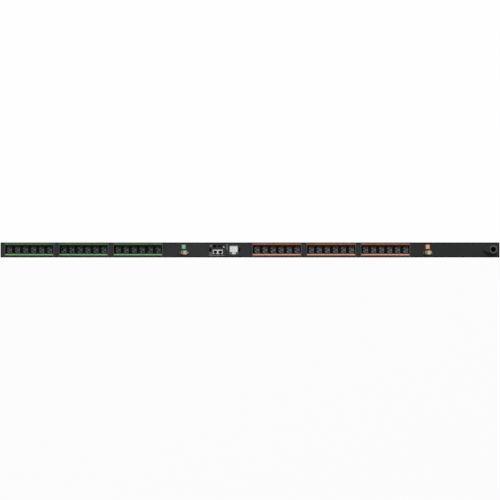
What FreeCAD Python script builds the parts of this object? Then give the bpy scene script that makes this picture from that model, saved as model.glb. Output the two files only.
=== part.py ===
"""Rack power distribution unit, full height, lying on its long side.

Millimetres. +X runs along the bar to the cord entry, -Y is the outlet face, +Z is up.
The origin is the middle of the underside. Every size is a cell of the sheet "Sizes".
"""
import FreeCAD, Part
import Sketcher
import math
import os
import re

SIZES = (
    # Sheet metal chassis
    ("length", "1829"),
    ("width", "55"),
    ("depth", "53"),
    ("channel_sheet", "1.5"),
    ("bend_radius", "2"),
    ("cover_sheet", "1.2"),
    ("cover_flange", "12"),
    ("cover_gap", "0.2"),
    ("cap_sheet", "1.5"),
    ("cap_flange", "14"),
    # Pegs on the back for keyhole slots
    ("peg_inset", "136.5"),
    ("peg_head_radius", "6"),
    ("peg_head_height", "2.5"),
    ("peg_neck_radius", "3.2"),
    ("peg_neck_length", "4"),
    ("peg_rivet_radius", "5"),
    ("peg_rivet_height", "1.5"),
    ("peg_gap", "0.1"),
    # Outlet banks, three in each group
    ("banks_in_group", "3"),
    ("bank_length", "184"),
    ("bank_margin", "0.8"),
    ("rim_length", "3.8"),
    ("rim_rise", "4.2"),
    ("rim_bevel", "1.2"),
    ("flange_sheet", "1.2"),
    ("flange_edge", "3"),
    ("trough_depth", "18"),
    ("tray_wall", "1.5"),
    ("window_gap", "0.3"),
    ("latch_length", "9"),
    ("latch_reach", "0.8"),
    ("latch_drop", "4"),
    ("latch_spacing", "110"),
    # Coloured bead along each long side of a bank
    ("rail_rise", "4.6"),
    ("rail_foot", "0.8"),
    ("rail_outer_slope", "1.2"),
    ("rail_crown", "4"),
    ("rail_inner_slope", "3.5"),
    ("rail_leg", "1"),
    ("rail_leg_depth", "14"),
    ("rail_leg_lean", "1.5"),
    ("rail_gap", "0.15"),
    # Socket blocks
    ("outlets", "6"),
    ("core_length", "17.5"),
    ("core_clearance", "2.75"),
    ("row_start", "7.15"),
    ("row_end", "4.75"),
    ("core_chamfer", "5"),
    ("core_recess", "1"),
    ("core_ledge", "1.2"),
    ("slot_width", "2.6"),
    ("slot_length", "5.2"),
    ("line_shift", "2.5"),
    ("earth_shift", "4.8"),
    # Brass contact strips behind the trays
    ("strip_sheet", "1"),
    ("strip_space", "2"),
    ("strip_tail", "20"),
    ("strip_gap", "0.3"),
    ("contact_sheet", "0.8"),
    ("contact_width", "4"),
    ("contact_gap", "0.3"),
    ("contact_recess", "9"),
    # Breakers
    ("breaker_drop", "9.5"),
    ("bezel_length", "35"),
    ("bezel_height", "18.5"),
    ("bezel_sheet", "1"),
    ("bezel_lap", "1"),
    ("bezel_lap_up", "0.6"),
    ("breaker_depth", "38"),
    ("rocker_length", "20"),
    ("rocker_width", "14.5"),
    ("rocker_rise", "4.6"),
    ("rocker_dip", "1.6"),
    ("rocker_edge", "2.5"),
    ("rocker_root", "3"),
    ("rocker_tilt", "8"),
    ("rocker_gap", "0.3"),
    ("pivot_depth", "1.5"),
    ("pivot_radius", "1"),
    ("pivot_stub", "0.8"),
    ("pivot_clearance", "0.08"),
    ("label_side", "16.5"),
    ("label_sheet", "0.4"),
    ("label_lift", "11.5"),
    # Controller module
    ("fascia_length", "122"),
    ("fascia_margin", "4.5"),
    ("fascia_sheet", "2"),
    ("fascia_radius", "2.5"),
    ("skirt_inset", "1.75"),
    ("skirt_inset_up", "2"),
    ("skirt_wall", "1.4"),
    ("skirt_depth", "18"),
    ("finger_margin", "0.55"),
    ("finger_width", "6.2"),
    ("finger_height", "16.6"),
    ("fit_gap", "0.15"),
    # Circuit board behind the fascia
    ("board_depth", "14"),
    ("board_sheet", "1.6"),
    ("board_gap", "0.6"),
    ("post_side", "4"),
    ("post_margin_right", "4.35"),
    ("post_margin_left", "5.35"),
    ("post_margin_up", "5.6"),
    ("board_screw_head", "2.2"),
    ("board_screw_rise", "1.4"),
    # Sockets on the board
    ("socket_proud", "0.3"),
    ("socket_back", "2.5"),
    ("network_length", "39.2"),
    ("network_height", "18.2"),
    ("network_brow", "5.7"),
    ("network_spread", "18"),
    ("network_mouth", "11.7"),
    ("network_mouth_height", "8.2"),
    ("network_latch", "6.2"),
    ("network_latch_drop", "3.1"),
    ("sensor_length", "11.8"),
    ("sensor_height", "10.4"),
    ("sensor_mouth", "9.7"),
    ("sensor_mouth_height", "6.6"),
    ("sensor_latch", "4"),
    ("sensor_latch_drop", "1.8"),
    ("usb_rise", "0.5"),
    ("usb_length", "13.2"),
    ("usb_height", "6.6"),
    ("usb_wall", "0.6"),
    ("usb_tongue", "1.8"),
    ("usb_tongue_length", "10.6"),
    # Light, display and keys
    ("light_gap", "0.1"),
    ("light_length", "12"),
    ("light_height", "9"),
    ("light_depth", "3.5"),
    ("display_length", "32.2"),
    ("display_depth", "4"),
    ("display_lap", "0.3"),
    ("lens_sheet", "1.5"),
    ("key_height", "7.2"),
    ("key_centre_length", "14"),
    ("key_side_length", "9"),
    ("key_side_offset", "12.6"),
    ("key_gap", "0.25"),
    ("key_proud", "0.9"),
    ("key_flange", "0.4"),
    ("key_flange_sheet", "1"),
    ("key_rest_gap", "0.3"),
    ("key_travel", "0.8"),
    ("stem_side", "2.6"),
    ("reset_drop", "3"),
    ("reset_radius", "2.5"),
    ("switch_side", "6"),
    ("switch_height", "3.5"),
    ("plunger_side", "3"),
    ("plunger_height", "0.7"),
    # Gaps along the top row of the controller, from its left wall to its right wall
    ("gap_wall_light", "0.85"),
    ("gap_light_sensor", "1.4"),
    ("gap_sensor_usb", "6.6"),
    ("gap_usb_reset", "5.2"),
    ("gap_reset_post", "3.8"),
    ("gap_post_display", "10.3"),
    ("gap_display_wall", "9.35"),
    # Gaps along its bottom row, between the finger slots
    ("gap_finger_network", "5.5"),
    ("gap_network_keys", "21.7"),
    ("gap_keys_finger", "1.6"),
    # Gaps from its top wall to its bottom wall, through the ports and through the display
    ("gap_above_ports", "0.9"),
    ("gap_between_ports", "6.1"),
    ("gap_below_ports", "3.6"),
    ("gap_above_display", "3.1"),
    ("gap_above_keys", "0.9"),
    ("gap_below_keys", "3.8"),
    # Cord entry
    ("boss_inset", "23"),
    ("boss_lift", "1.8"),
    ("boss_radius", "17.75"),
    ("boss_height", "10"),
    ("boss_tail", "31"),
    ("boss_tip_radius", "5"),
    ("boss_tip_height", "2"),
    ("boss_crown", "11"),
    ("gland_radius", "12.8"),
    ("gland_gap", "0.2"),
    ("gland_wall", "3.45"),
    ("gland_lip", "2.2"),
    ("gland_flange_sheet", "2"),
    ("gland_tail", "1"),
    ("nut_wall", "4.2"),
    ("nut_height", "5"),
    # Supply terminals inside
    ("terminal_gap", "55.5"),
    ("terminal_length", "44"),
    ("terminal_back", "12"),
    ("terminal_front", "10"),
    ("terminal_height", "33"),
    ("terminal_wall", "2.5"),
    ("terminal_count", "3"),
    ("terminal_cage", "7"),
    ("terminal_cage_depth", "16"),
    ("terminal_step", "9"),
    # Gaps along the bar, from its left end to the cord boss
    ("gap_end_bank", "13.5"),
    ("gap_bank_bank", "15"),
    ("gap_bank_breaker_left", "58.5"),
    ("gap_breaker_controller", "72.5"),
    ("gap_controller_bank", "37"),
    ("gap_bank_breaker_right", "46"),
    ("gap_breaker_boss", "186.5"),
)

# Sizes and places that follow from the ones above. The gaps share out the room that the pieces leave.
FOLLOWING = (
    ("bank_height", "width - 2 * bank_margin"),
    ("rail_width", "rail_outer_slope + rail_crown + rail_inner_slope"),
    ("trough_height", "bank_height - 2 * flange_edge - 2 * rail_width"),
    ("cavity_height", "trough_height + 2 * rail_leg + 2 * rail_gap"),
    ("core_height", "trough_height - 2 * core_clearance"),
    ("outlet_span", "bank_length - 2 * rim_length - row_start - row_end - core_length"),
    ("outlet_pitch", "outlet_span / (outlets - 1)"),
    ("core_shift", "(row_start - row_end) / 2"),
    ("pin_spread", "core_height * 2 / 7"),
    ("strip_width", "pin_spread - strip_space"),
    ("breaker_length", "bezel_length - 2 * bezel_lap"),
    ("breaker_height", "bezel_height - 2 * bezel_lap_up"),
    ("boss_room", "boss_inset + boss_tail + boss_tip_radius"),
    ("bar_pieces", "6 * bank_length + 2 * bezel_length + fascia_length + boss_room"),
    ("left_gaps", "gap_end_bank + 4 * gap_bank_bank + gap_bank_breaker_left + gap_breaker_controller"),
    ("right_gaps", "gap_controller_bank + gap_bank_breaker_right + gap_breaker_boss"),
    ("stretch", "(length - bar_pieces) / (left_gaps + right_gaps)"),
    ("bank_pitch", "bank_length + gap_bank_bank * stretch"),
    ("group_reach", "bank_pitch + bank_length / 2"),
    ("green_middle", "gap_end_bank * stretch + group_reach - length / 2"),
    ("breaker_left", "green_middle + group_reach + gap_bank_breaker_left * stretch + bezel_length / 2"),
    ("controller_left", "breaker_left + bezel_length / 2 + gap_breaker_controller * stretch"),
    ("controller_middle", "controller_left + fascia_length / 2"),
    ("orange_left", "controller_left + fascia_length + gap_controller_bank * stretch"),
    ("orange_middle", "orange_left + group_reach"),
    ("breaker_right", "orange_middle + group_reach + gap_bank_breaker_right * stretch + bezel_length / 2"),
    ("boss_middle", "length / 2 - boss_inset"),
    ("terminal_middle", "length / 2 - boss_room - terminal_gap * stretch"),
    ("terminal_pitch", "(terminal_height - terminal_cage - 2 * terminal_wall) / (terminal_count - 1)"),
    ("peg_spacing", "length - 2 * peg_inset"),
    ("gland_bore", "gland_radius - gland_wall"),
    ("gland_flange", "gland_radius + gland_lip"),
    ("nut_radius", "gland_radius + nut_wall"),
    ("fascia_height", "width - 2 * fascia_margin"),
    ("skirt_length", "fascia_length - 2 * skirt_inset"),
    ("skirt_height", "fascia_height - 2 * skirt_inset_up"),
    ("inside_length", "skirt_length - 2 * skirt_wall"),
    ("inside_height", "skirt_height - 2 * skirt_wall"),
    ("sockets_length", "light_length + sensor_length + usb_length"),
    ("top_row", "sockets_length + 2 * reset_radius + post_side + display_length"),
    ("top_gaps_left", "gap_wall_light + gap_light_sensor + gap_sensor_usb + gap_usb_reset"),
    ("top_gaps_right", "gap_reset_post + gap_post_display + gap_display_wall"),
    ("top_stretch", "(inside_length - top_row) / (top_gaps_left + top_gaps_right)"),
    ("light_middle", "gap_wall_light * top_stretch + light_length / 2 - inside_length / 2"),
    ("sensor_left", "light_middle + light_length / 2 + gap_light_sensor * top_stretch"),
    ("sensor_middle", "sensor_left + sensor_length / 2"),
    ("usb_left", "sensor_left + sensor_length + gap_sensor_usb * top_stretch"),
    ("usb_middle", "usb_left + usb_length / 2"),
    ("reset_middle", "usb_left + usb_length + gap_usb_reset * top_stretch + reset_radius"),
    ("post_inner", "reset_middle + reset_radius + gap_reset_post * top_stretch + post_side / 2"),
    ("display_left", "post_inner + post_side / 2 + gap_post_display * top_stretch"),
    ("display_middle", "display_left + display_length / 2"),
    ("keys_length", "2 * key_side_offset + key_side_length"),
    ("low_row", "2 * finger_width + network_length + keys_length"),
    ("low_gaps", "2 * finger_margin + gap_finger_network + gap_network_keys + gap_keys_finger"),
    ("low_stretch", "(inside_length - low_row) / low_gaps"),
    ("finger_offset", "inside_length / 2 - finger_margin * low_stretch - finger_width / 2"),
    ("network_left", "finger_width / 2 - finger_offset + gap_finger_network * low_stretch"),
    ("network_middle", "network_left + network_length / 2"),
    ("keys_right", "finger_offset - finger_width / 2 - gap_keys_finger * low_stretch"),
    ("keys_middle", "keys_right - keys_length / 2"),
    ("post_right", "inside_length / 2 - post_margin_right"),
    ("post_left", "inside_length / 2 - post_margin_left"),
    ("post_height", "inside_height / 2 - post_margin_up"),
    ("port_gaps", "gap_above_ports + gap_between_ports + gap_below_ports"),
    ("rise", "(inside_height - sensor_height - network_height) / port_gaps"),
    ("sensor_lift", "inside_height / 2 - gap_above_ports * rise - sensor_height / 2"),
    ("usb_lift", "sensor_lift + usb_rise"),
    ("light_lift", "inside_height / 2 - light_gap - light_height / 2"),
    ("reset_lift", "sensor_lift - reset_drop"),
    ("network_bottom", "gap_below_ports * rise - inside_height / 2"),
    ("network_top", "network_bottom + network_height"),
    ("network_mouth_top", "network_top - network_brow"),
    ("keys_room", "key_height + gap_above_keys + gap_below_keys"),
    ("display_height", "inside_height - gap_above_display - keys_room"),
    ("display_lift", "inside_height / 2 - gap_above_display - display_height / 2"),
    ("key_drop", "inside_height / 2 - gap_below_keys - key_height / 2"),
)

FRONT = "-depth / 2"
MIDDLE = "width / 2"
TRAY_BACK = "trough_depth + tray_wall"
CATCH = 0.01

doc = FreeCAD.newDocument("RackPowerUnit")
sheet = doc.addObject("Spreadsheet::Sheet", "Sizes")
for row, (size_name, size_text) in enumerate(SIZES + FOLLOWING, start=1):
    sheet.set(f"A{row}", size_name)
    sheet.set(f"B{row}", size_text if row <= len(SIZES) else "=" + size_text)
    sheet.setAlias(f"B{row}", size_name)
doc.recompute()

KNOWN = {size_name for size_name, size_text in SIZES + FOLLOWING}
pieces = []


def bound(formula):
    """Write a formula on size names as an expression on the sheet's cells."""
    def cell(word):
        return "Sizes." + word.group() if word.group() in KNOWN else word.group()
    return re.sub(r"[a-z][a-z_]*", cell, formula)


def number(size_name):
    return float(sheet.get(size_name))


def piece(name, x="0", y="0", z="0"):
    """Start the body of one sub-part, with its own origin at x, y, z of the unit."""
    part = doc.addObject("PartDesign::Body", name)
    part.Label = name
    for letter, place in (("x", x), ("y", y), ("z", z)):
        part.setExpression(f"Placement.Base.{letter}", bound(place))
    pieces.append(part)
    return part


def origin_item(part, role):
    return [item for item in part.Origin.OriginFeatures if item.Role == role][0]


def sketch(part, plane, lift="0"):
    """Start a sketch on an origin plane, lifted along its normal."""
    flat = part.newObject("Sketcher::SketchObject", "Sketch")
    flat.AttachmentSupport = [(origin_item(part, plane), "")]
    flat.MapMode = "FlatFace"
    flat.setExpression("AttachmentOffset.Base.z", bound(lift))
    return flat


def pin(flat, item, point, across, up):
    """Hold one point of a sketch at its distances from the sketch's origin."""
    for kind, distance in (("DistanceX", across), ("DistanceY", up)):
        held = flat.addConstraint(Sketcher.Constraint(kind, -1, 1, item, point, 1.0))
        flat.setExpression(f"Constraints[{held}]", bound(distance))


def outline(flat, corners):
    """Draw a closed outline through corners, each given as (across, up) formulas."""
    first = flat.GeometryCount
    count = len(corners)
    turn = 2 * math.pi / count
    start = [FreeCAD.Vector(math.cos(turn * k), math.sin(turn * k), 0) for k in range(count)]
    for k in range(count):
        flat.addGeometry(Part.LineSegment(start[k], start[(k + 1) % count]))
    for k in range(count):
        following = first + (k + 1) % count
        flat.addConstraint(Sketcher.Constraint("Coincident", first + k, 2, following, 1))
    for k, (across, up) in enumerate(corners):
        pin(flat, first + k, 1, across, up)


def rectangle(flat, across, up, length, height):
    """Draw a rectangle about the point across, up."""
    left, right = f"{across} - ({length}) / 2", f"{across} + ({length}) / 2"
    low, high = f"{up} - ({height}) / 2", f"{up} + ({height}) / 2"
    outline(flat, ((left, low), (right, low), (right, high), (left, high)))


def circle(flat, across, up, radius):
    item = flat.addGeometry(Part.Circle(FreeCAD.Vector(0, 0, 0), FreeCAD.Vector(0, 0, 1), 1.0))
    pin(flat, item, 3, across, up)
    held = flat.addConstraint(Sketcher.Constraint("Radius", item, 1.0))
    flat.setExpression(f"Constraints[{held}]", bound(radius))


def hexagon(flat, across, up, radius):
    corners = []
    for degrees in range(0, 360, 60):
        corners.append((f"{across} + {radius} * cos({degrees} * 1deg)",
                        f"{up} + {radius} * sin({degrees} * 1deg)"))
    outline(flat, corners)


def extrude(part, kind, flat, length, both):
    feature = part.newObject(kind, kind.split("::")[1])
    feature.Profile = flat
    feature.setExpression("Length", bound(length))
    if both:
        feature.SideType = "Symmetric"
    return feature


def pad(part, flat, length, both=False):
    return extrude(part, "PartDesign::Pad", flat, length, both)


def pocket(part, flat, length, both=False):
    return extrude(part, "PartDesign::Pocket", flat, length, both)


def spin(part, kind, flat):
    """Turn a profile a full turn about its sketch's upright axis."""
    feature = part.newObject(kind, kind.split("::")[1])
    feature.Profile = flat
    feature.ReferenceAxis = (flat, ["V_Axis"])
    feature.Angle = 360
    return feature


def row_of(part, span, count, axis="X_Axis"):
    pattern = part.newObject("PartDesign::LinearPattern", "Row")
    pattern.Direction = (origin_item(part, axis), [""])
    pattern.setExpression("Length", bound(span))
    pattern.setExpression("Occurrences", bound(count))
    return pattern


def mirror_of(part, plane):
    mirror = part.newObject("PartDesign::Mirrored", "Mirror")
    mirror.MirrorPlane = (origin_item(part, plane), [""])
    return mirror


def repeat(part, features, *steps):
    """Repeat features by one pattern, or by several nested ones."""
    if len(steps) == 1:
        steps[0].Originals = features
        part.Tip = steps[0]
        return
    multi = part.newObject("PartDesign::MultiTransform", "Repeat")
    multi.Originals = features
    multi.Transformations = list(steps)
    part.Tip = multi


def edges_of(feature, wanted):
    """Names of a feature's edges whose middle and direction pass the test."""
    doc.recompute()
    names = []
    for k, edge in enumerate(feature.Shape.Edges, start=1):
        if wanted(edge.CenterOfMass, edge.tangentAt(edge.FirstParameter)):
            names.append(f"Edge{k}")
    return names


def soften(part, feature, wanted, radius):
    fillet = part.newObject("PartDesign::Fillet", "Fillet")
    fillet.Base = (feature, edges_of(feature, wanted))
    fillet.setExpression("Radius", bound(radius))
    return fillet


def bevel(part, feature, wanted, size):
    chamfer = part.newObject("PartDesign::Chamfer", "Chamfer")
    chamfer.Base = (feature, edges_of(feature, wanted))
    chamfer.setExpression("Size", bound(size))
    return chamfer


def bank_middle(bank):
    """Formula for the middle of bank 1 to 6 along the bar."""
    group = "green_middle" if bank <= 3 else "orange_middle"
    return f"{group} + bank_pitch * {(bank - 1) % 3 - 1}"


# Chassis

def front_channel():
    part = piece("front_channel", z=MIDDLE)
    back, front = "depth / 2", FRONT
    edge, inside = "width / 2", "width / 2 - channel_sheet"
    flat = sketch(part, "YZ_Plane")
    outline(flat, ((back, f"-({edge})"), (front, f"-({edge})"), (front, edge), (back, edge),
                   (back, inside), (f"{front} + channel_sheet", inside),
                   (f"{front} + channel_sheet", f"-({inside})"), (back, f"-({inside})")))
    folded = pad(part, flat, "length - 2 * cap_sheet", both=True)
    face, side = -number("depth") / 2, number("width") / 2

    def outer_bend(middle, along):
        return abs(along.x) > 0.9 and abs(middle.y - face) < CATCH and abs(abs(middle.z) - side) < CATCH
    soften(part, folded, outer_bend, "bend_radius")

    flat = sketch(part, "XZ_Plane", "depth / 2")
    for bank in range(1, 7):
        rectangle(flat, bank_middle(bank), "0",
                  "bank_length - 2 * rim_length + 2 * tray_wall + 2 * window_gap",
                  "cavity_height + 2 * tray_wall + 2 * window_gap")
    for place in ("breaker_left", "breaker_right"):
        rectangle(flat, place, "-breaker_drop",
                  "breaker_length + 2 * window_gap", "breaker_height + 2 * window_gap")
    rectangle(flat, "controller_middle", "0",
              "skirt_length + 2 * window_gap", "skirt_height + 2 * window_gap")
    circle(flat, "boss_middle", "boss_lift", "gland_radius + gland_gap")
    pocket(part, flat, "2 * channel_sheet")


def rear_cover():
    part = piece("rear_cover", z=MIDDLE)
    edge = "width / 2 - channel_sheet - cover_gap"
    inside = f"{edge} - cover_sheet"
    root, back = "depth / 2 - cover_flange", "depth / 2"
    flat = sketch(part, "YZ_Plane")
    outline(flat, ((root, f"-({edge})"), (back, f"-({edge})"), (back, edge), (root, edge),
                   (root, inside), (f"{back} - cover_sheet", inside),
                   (f"{back} - cover_sheet", f"-({inside})"), (root, f"-({inside})")))
    pad(part, flat, "length - 2 * cap_sheet - 2 * cover_gap", both=True)
    flat = sketch(part, "XZ_Plane", "-depth / 2 + 2 * cover_sheet")
    for side in ("-", ""):
        circle(flat, f"{side}peg_spacing / 2", "0", "peg_neck_radius + peg_gap")
    pocket(part, flat, "3 * cover_sheet")


def end_cap(name, side):
    """Folded end plate with one flange under each long side; side is -1 or 1."""
    part = piece(name, x=f"{side} * length / 2", z=MIDDLE)
    flat = sketch(part, "YZ_Plane", f"-cap_sheet * {(1 + side) // 2}")
    rectangle(flat, "0", "0", "depth", "width")
    plate = pad(part, flat, "cap_sheet")
    face = -number("depth") / 2

    def front_corner(middle, along):
        return abs(along.x) > 0.9 and abs(middle.y - face) < CATCH
    soften(part, plate, front_corner, "bend_radius")
    inner = f"{-side} * cap_sheet"
    outer = f"{-side} * (cap_sheet + cap_flange)"
    top = "width / 2 - channel_sheet - cover_gap"
    flat = sketch(part, "XZ_Plane", "cover_flange + cover_gap - depth / 2")
    for sign in ("-", ""):
        outline(flat, ((inner, f"{sign}({top})"), (outer, f"{sign}({top})"),
                       (outer, f"{sign}({top} - cap_sheet)"), (inner, f"{sign}({top} - cap_sheet)")))
    pad(part, flat, "depth - cover_flange - channel_sheet - 2 * cover_gap")


def mounting_buttons():
    """Two mushroom pegs riveted through the cover, heads outwards."""
    part = piece("mounting_buttons", x="-peg_spacing / 2", y="depth / 2", z=MIDDLE)
    flat = sketch(part, "XY_Plane")
    neck_end = "peg_neck_length"
    outline(flat, (("0", "-cover_sheet - peg_rivet_height"),
                   ("peg_rivet_radius", "-cover_sheet - peg_rivet_height"),
                   ("peg_rivet_radius", "-cover_sheet"), ("peg_neck_radius", "-cover_sheet"),
                   ("peg_neck_radius", neck_end), ("peg_head_radius", neck_end),
                   ("peg_head_radius", f"{neck_end} + peg_head_height"),
                   ("0", f"{neck_end} + peg_head_height")))
    peg = spin(part, "PartDesign::Revolution", flat)
    repeat(part, [peg], row_of(part, "peg_spacing", "2"))


# Outlet banks

def core_outline(flat, inset):
    """Outline of a socket block, cut off at its two earth-side corners."""
    half, top = f"core_length / 2 - {inset}", f"core_height / 2 - {inset}"
    cut = f"(core_chamfer - {inset} * (2 - sqrt(2)))"
    middle = "core_shift - outlet_pitch * (outlets - 1) / 2"
    outline(flat, ((f"{middle} + {half}", f"-({top})"), (f"{middle} + {half}", top),
                   (f"{middle} - ({half}) + {cut}", top),
                   (f"{middle} - ({half})", f"{top} - {cut}"),
                   (f"{middle} - ({half})", f"-({top} - {cut})"),
                   (f"{middle} - ({half}) + {cut}", f"-({top})")))


def outlet_tray(bank):
    part = piece(f"outlet_tray_{bank}", x=bank_middle(bank), y=FRONT, z=MIDDLE)
    well = "bank_length - 2 * rim_length"
    flat = sketch(part, "XZ_Plane")
    rectangle(flat, "0", "0", "bank_length", "bank_height")
    pad(part, flat, "flange_sheet")
    flat = sketch(part, "XZ_Plane")
    for side in ("-1", "1"):
        rectangle(flat, f"{side} * (bank_length - rim_length) / 2", "0", "rim_length", "bank_height")
    rims = pad(part, flat, "rim_rise")
    end, edge = number("bank_length") / 2, number("bank_height") / 2
    rise = number("rim_rise")

    def rim_edge(middle, along):
        on_crown = abs(middle.y + rise) < CATCH
        return on_crown and (abs(abs(middle.x) - end) < CATCH or abs(abs(middle.z) - edge) < CATCH)
    bevel(part, rims, rim_edge, "rim_bevel")
    flat = sketch(part, "XZ_Plane", f"-({TRAY_BACK})")
    rectangle(flat, "0", "0", f"{well} + 2 * tray_wall", "cavity_height + 2 * tray_wall")
    pad(part, flat, TRAY_BACK)
    flat = sketch(part, "XZ_Plane", "flange_sheet")
    rectangle(flat, "0", "0", well, "cavity_height")
    pocket(part, flat, "flange_sheet + trough_depth")
    flat = sketch(part, "XZ_Plane", "-trough_depth")
    core_outline(flat, "core_ledge")
    hole = pocket(part, flat, "2 * tray_wall")
    repeat(part, [hole], row_of(part, "outlet_pitch * (outlets - 1)", "outlets"))
    latches(part)


def latches(part):
    """Wedges on the tray's long walls that catch behind the channel's face."""
    wall = "cavity_height / 2 + tray_wall"
    catch = "channel_sheet + window_gap"
    flat = sketch(part, "YZ_Plane", "-latch_spacing / 2")
    outline(flat, ((catch, f"{wall} - tray_wall / 2"), (catch, f"{wall} + latch_reach"),
                   (f"{catch} + latch_drop", wall), (f"{catch} + latch_drop", f"{wall} - tray_wall / 2")))
    wedge = pad(part, flat, "latch_length", both=True)
    repeat(part, [wedge], mirror_of(part, "YZ_Plane"), mirror_of(part, "XY_Plane"))


def outlet_cores(bank):
    """Six socket blocks, each with one earth slot and two line slots right through."""
    part = piece(f"outlet_cores_{bank}", x=bank_middle(bank), y=FRONT, z=MIDDLE)
    flat = sketch(part, "XZ_Plane", "-trough_depth")
    core_outline(flat, "0")
    middle = "core_shift - outlet_pitch * (outlets - 1) / 2"
    rectangle(flat, f"{middle} - earth_shift", "0", "slot_length", "slot_width")
    for side in ("-1", "1"):
        rectangle(flat, f"{middle} + line_shift", f"{side} * pin_spread", "slot_length", "slot_width")
    core = pad(part, flat, "trough_depth - core_recess")
    repeat(part, [core], row_of(part, "outlet_pitch * (outlets - 1)", "outlets"))


def colour_rails(bank):
    """Two bead strips on the tray's flange, each with a leg down the trough's long wall."""
    part = piece(f"colour_rails_{bank}", x=bank_middle(bank), y=FRONT, z=MIDDLE)
    inner, foot = "trough_height / 2", "trough_height / 2 + rail_width"
    low, crown = "-flange_sheet - rail_foot", "trough_height / 2 + rail_inner_slope"
    flat = sketch(part, "YZ_Plane")
    outline(flat, (("-flange_sheet", foot), (low, foot),
                   ("-rail_rise", f"{crown} + rail_crown"), ("-rail_rise", crown), (low, inner),
                   ("rail_leg_depth", f"{inner} - rail_leg_lean"),
                   ("rail_leg_depth", f"{inner} + rail_leg"),
                   ("-flange_sheet", f"{inner} + rail_leg")))
    rail = pad(part, flat, "bank_length - 2 * rim_length - 2 * rail_gap", both=True)
    repeat(part, [rail], mirror_of(part, "XY_Plane"))


def contact_strip(name, group, end, height, shift):
    """Brass strip across the three banks of a group, with a contact in every slot."""
    reach = "group_reach"
    part = piece(name, x=group, y=FRONT, z=f"{MIDDLE} + {height}")
    flat = sketch(part, "XZ_Plane", f"-({TRAY_BACK}) - strip_sheet")
    outline(flat, ((f"-({reach})", "-strip_width / 2"), (end, "-strip_width / 2"),
                   (end, "strip_width / 2"), (f"-({reach})", "strip_width / 2")))
    pad(part, flat, "strip_sheet")
    flat = sketch(part, "XZ_Plane", f"-({TRAY_BACK})")
    first = "core_shift - outlet_pitch * (outlets - 1) / 2 - bank_pitch"
    beside = "-slot_width / 2 + contact_gap + contact_sheet / 2"
    rectangle(flat, f"{first} + {shift}", beside, "contact_width", "contact_sheet")
    leaf = pad(part, flat, f"{TRAY_BACK} - core_recess - contact_recess")
    repeat(part, [leaf], row_of(part, "outlet_pitch * (outlets - 1)", "outlets"),
           row_of(part, "bank_pitch * (banks_in_group - 1)", "banks_in_group"))


def contact_strips():
    free_end = "group_reach + strip_tail * stretch"
    groups = (("1", "green_middle", "breaker_left"), ("2", "orange_middle", "breaker_right"))
    for group, middle, breaker in groups:
        terminal = f"{breaker} - {middle} - breaker_length / 2 - strip_gap"
        contact_strip(f"line_strip_{group}", middle, free_end, "pin_spread", "line_shift")
        contact_strip(f"neutral_strip_{group}", middle, terminal, "-pin_spread", "line_shift")
        contact_strip(f"earth_strip_{group}", middle, free_end, "0", "-earth_shift")


# Breakers

def breaker_body(name, place):
    part = piece(name, x=place, y=FRONT, z=f"{MIDDLE} - breaker_drop")
    flat = sketch(part, "XZ_Plane", "-breaker_depth")
    rectangle(flat, "0", "0", "breaker_length", "breaker_height")
    pad(part, flat, "breaker_depth")
    flat = sketch(part, "XZ_Plane")
    rectangle(flat, "0", "0", "bezel_length", "bezel_height")
    pad(part, flat, "bezel_sheet")
    flat = sketch(part, "XZ_Plane", "bezel_sheet")
    swing = "rocker_length * cos(rocker_tilt * 1deg) + 2 * rocker_rise * sin(rocker_tilt * 1deg)"
    rectangle(flat, "0", "0", f"{swing} + 2 * rocker_gap", "rocker_width + 2 * rocker_gap")
    pocket(part, flat, "bezel_sheet + pivot_depth + rocker_root * 2")
    flat = sketch(part, "XY_Plane")
    circle(flat, "0", "pivot_depth", "pivot_radius + pivot_clearance")
    pocket(part, flat, "breaker_height", both=True)


def breaker_rocker(name, place):
    """Rocker with two sloping halves and a stub axle, resting in its on position."""
    part = piece(name, x=place, y=f"{FRONT} + pivot_depth", z=f"{MIDDLE} - breaker_drop")
    part.setExpression("Placement.Rotation.Angle", bound("rocker_tilt"))
    flat = sketch(part, "XY_Plane")
    outline(flat, (("-rocker_length / 2", "-rocker_rise"), ("0", "-rocker_rise + rocker_dip"),
                   ("rocker_length / 2", "-rocker_rise"),
                   ("rocker_length / 2", "-rocker_rise + rocker_edge"),
                   ("rocker_root", "rocker_root"), ("-rocker_root", "rocker_root"),
                   ("-rocker_length / 2", "-rocker_rise + rocker_edge")))
    pad(part, flat, "rocker_width", both=True)
    flat = sketch(part, "XY_Plane")
    circle(flat, "0", "0", "pivot_radius")
    pad(part, flat, "rocker_width + 2 * pivot_stub", both=True)


def breaker_label(name, place):
    part = piece(name, x=place, y=FRONT, z=f"{MIDDLE} + label_lift")
    flat = sketch(part, "XZ_Plane")
    rectangle(flat, "0", "0", "label_side", "label_side")
    pad(part, flat, "label_sheet")


# Controller module, in its own frame with the origin in the middle of the fascia's back

def controller_piece(name):
    return piece(name, x="controller_middle", y=FRONT, z=MIDDLE)


def post_places():
    return (("-post_left", "-post_height"), ("post_right", "-post_height"),
            ("post_right", "post_height"), ("post_inner", "post_height"))


def key_places():
    """Middle and length of the left, centre and right keys."""
    return (("button_left", "keys_middle - key_side_offset", "key_side_length"),
            ("button_centre", "keys_middle", "key_centre_length"),
            ("button_right", "keys_middle + key_side_offset", "key_side_length"))


def network_frame(flat, gap):
    rectangle(flat, "network_middle", "(network_top + network_bottom) / 2",
              f"network_length + 2 * {gap}", f"network_top - network_bottom + 2 * {gap}")


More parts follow.
